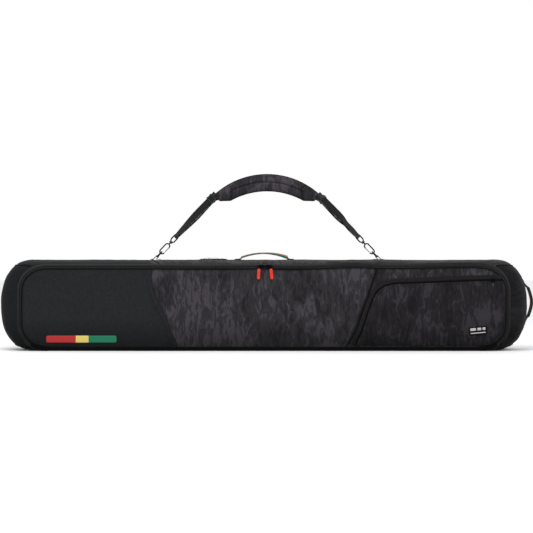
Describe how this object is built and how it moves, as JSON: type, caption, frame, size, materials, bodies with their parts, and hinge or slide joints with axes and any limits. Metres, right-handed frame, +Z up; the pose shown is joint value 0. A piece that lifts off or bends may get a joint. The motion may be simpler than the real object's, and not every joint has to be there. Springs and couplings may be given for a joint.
{
  "type": "snowboard bag",
  "caption": "Long padded board bag with a zip-round front lid, a flat zip pocket, grab handles and a clip-on padded shoulder strap.",
  "frame": {"origin": "centre of the flat base that the bag stands on", "axes": "+X along the bag towards the end with the grab handle, -Y out of the front lid, +Z up"},
  "size_m": [1.668, 0.1882, 0.5508],
  "materials": {
    "coated_black": "matte coated woven polyester",
    "camo_fabric": "matte printed woven polyester",
    "wall_foam": "closed-cell foam",
    "lining": "plain woven lining",
    "zip_tape": "knitted tape",
    "piping": "woven binding over cord",
    "stripe_webbing": "striped woven webbing",
    "black_webbing": "black woven webbing",
    "slider_black": "satin black",
    "pull_red": "soft moulded",
    "pull_grey": "braided cord",
    "hook_black": "satin black",
    "gate_steel": "drawn wire",
    "glide_black": "moulded",
    "window_clear": "clear vinyl",
    "label_black": "woven label",
    "stripe_patch": "heat-pressed bar in three colours",
    "pad_mesh": "spacer mesh"
  },
  "bodies": {
    "root": {"back_panel": "coated_black", "back_foam": "wall_foam", "back_piping": "piping", "top_gusset": "coated_black", "bottom_gusset": "coated_black", "left_end_gusset": "coated_black", "right_end_gusset": "camo_fabric", "top_foam": "wall_foam", "bottom_foam": "wall_foam", "left_end_foam": "wall_foam", "right_end_foam": "wall_foam", "tray_lining": "lining", "tray_zip_tape": "zip_tape", "card_window_frame": "piping", "card_window": "window_clear", "ring_tab_left": "black_webbing", "ring_tab_right": "black_webbing", "top_handle_anchors": "stripe_webbing", "end_handle_anchors": "stripe_webbing"},
    "lid": {"front_panel_left": "coated_black", "front_panel_middle": "camo_fabric", "front_panel_right": "camo_fabric", "lid_foam": "wall_foam", "lid_lining": "lining", "lid_zip_tape": "zip_tape", "front_piping": "piping", "seam_binding": "coated_black", "diagonal_piping": "piping", "pocket_panel": "camo_fabric", "pocket_zip_band": "camo_fabric", "pocket_zip_tape": "zip_tape", "woven_label": "label_black", "stripe_patch": "stripe_patch"},
    "strap": {"pad_cover": "camo_fabric", "pad_foam": "wall_foam", "pad_backing": "pad_mesh", "pad_end_tabs": "black_webbing", "strap_webbing_left": "black_webbing", "strap_webbing_right": "black_webbing", "hook_eye_left": "hook_black", "hook_eye_right": "hook_black"},
    "top_handle": {"top_handle": "stripe_webbing"},
    "end_handle": {"end_handle": "stripe_webbing"},
    "pocket_slider": {"pocket_slider": "slider_black"},
    "pocket_pull": {"pocket_pull": "pull_grey"},
    "main_slider_left": {"main_slider_left": "slider_black"},
    "main_pull_left": {"main_pull_left": "pull_red"},
    "d_ring_left": {"d_ring_left": "hook_black"},
    "hook_left": {"hook_body_left": "hook_black", "gate_pin_left": "gate_steel"},
    "hook_gate_left": {"hook_gate_left": "gate_steel"},
    "tri_glide_left": {"tri_glide_left": "glide_black"},
    "main_slider_right": {"main_slider_right": "slider_black"},
    "main_pull_right": {"main_pull_right": "pull_red"},
    "d_ring_right": {"d_ring_right": "hook_black"},
    "hook_right": {"hook_body_right": "hook_black", "gate_pin_right": "gate_steel"},
    "hook_gate_right": {"hook_gate_right": "gate_steel"},
    "tri_glide_right": {"tri_glide_right": "glide_black"}
  },
  "joints": [
    {"name": "lid_open", "type": "hinge", "parent": "root", "child": "lid", "pos_m": [0, -0.082, 0.012], "axis": [1, 0, 0], "range_deg": [0, 80]},
    {"name": "top_handle_flop", "type": "hinge", "parent": "root", "child": "top_handle", "pos_m": [0, 0, 0.2885], "axis": [1, 0, 0], "range_deg": [-40, 28]},
    {"name": "end_handle_flop", "type": "hinge", "parent": "root", "child": "end_handle", "pos_m": [0.831, 0, 0.148], "axis": [0, 0, 1], "range_deg": [-28, 28]},
    {"name": "pocket_zip", "type": "slide", "parent": "lid", "child": "pocket_slider", "axis": [-0.9995, 0, -0.0323], "range_m": [0, 0.29]},
    {"name": "pocket_pull_flip", "type": "hinge", "parent": "pocket_slider", "child": "pocket_pull", "pos_m": [0.705, -0.0981, 0.217], "axis": [-1, 0, 0], "range_deg": [0, 165]},
    {"name": "strap_swing", "type": "hinge", "parent": "root", "child": "strap", "pos_m": [0.01, 0, 0.30616], "axis": [1, 0, 0], "range_deg": [-30, 30]},
    {"name": "main_zip_left", "type": "slide", "parent": "lid", "child": "main_slider_left", "axis": [-1, 0, 0], "range_m": [0, 0.64]},
    {"name": "main_pull_flip_left", "type": "hinge", "parent": "main_slider_left", "child": "main_pull_left", "pos_m": [-0.0145, -0.0931, 0.26], "axis": [-1, 0, 0], "range_deg": [0, 165]},
    {"name": "d_ring_tilt_left", "type": "hinge", "parent": "root", "child": "d_ring_left", "pos_m": [-0.33547, 0, 0.2909], "axis": [0, 1, 0], "range_deg": [-2, 2]},
    {"name": "hook_swivel_left", "type": "hinge", "parent": "strap", "child": "hook_left", "pos_m": [-0.29528, 0, 0.33341], "axis": [0.6871, 0, 0.7266], "range_deg": [-4, 4]},
    {"name": "hook_gate_left", "type": "hinge", "parent": "hook_left", "child": "hook_gate_left", "pos_m": [-0.29856, 0, 0.31917], "axis": [0, 1, 0], "range_deg": [0, 20], "stiffness_Nm_per_rad": 0.02, "springref_deg": -28.65},
    {"name": "strap_adjust_left", "type": "slide", "parent": "strap", "child": "tri_glide_left", "axis": [-0.6871, 0, -0.7266], "range_m": [0, 0.06]},
    {"name": "main_zip_right", "type": "slide", "parent": "lid", "child": "main_slider_right", "axis": [1, 0, 0], "range_m": [0, 0.64]},
    {"name": "main_pull_flip_right", "type": "hinge", "parent": "main_slider_right", "child": "main_pull_right", "pos_m": [0.0215, -0.0931, 0.26], "axis": [-1, 0, 0], "range_deg": [0, 165]},
    {"name": "d_ring_tilt_right", "type": "hinge", "parent": "root", "child": "d_ring_right", "pos_m": [0.35547, 0, 0.2909], "axis": [0, 1, 0], "range_deg": [-2, 2]},
    {"name": "hook_swivel_right", "type": "hinge", "parent": "strap", "child": "hook_right", "pos_m": [0.31528, 0, 0.33341], "axis": [-0.6871, 0, 0.7266], "range_deg": [-4, 4]},
    {"name": "hook_gate_right", "type": "hinge", "parent": "hook_right", "child": "hook_gate_right", "pos_m": [0.31856, 0, 0.31917], "axis": [0, -1, 0], "range_deg": [0, 20], "stiffness_Nm_per_rad": 0.02, "springref_deg": -28.65},
    {"name": "strap_adjust_right", "type": "slide", "parent": "strap", "child": "tri_glide_right", "axis": [0.6871, 0, -0.7266], "range_m": [0, 0.06]}
  ]
}
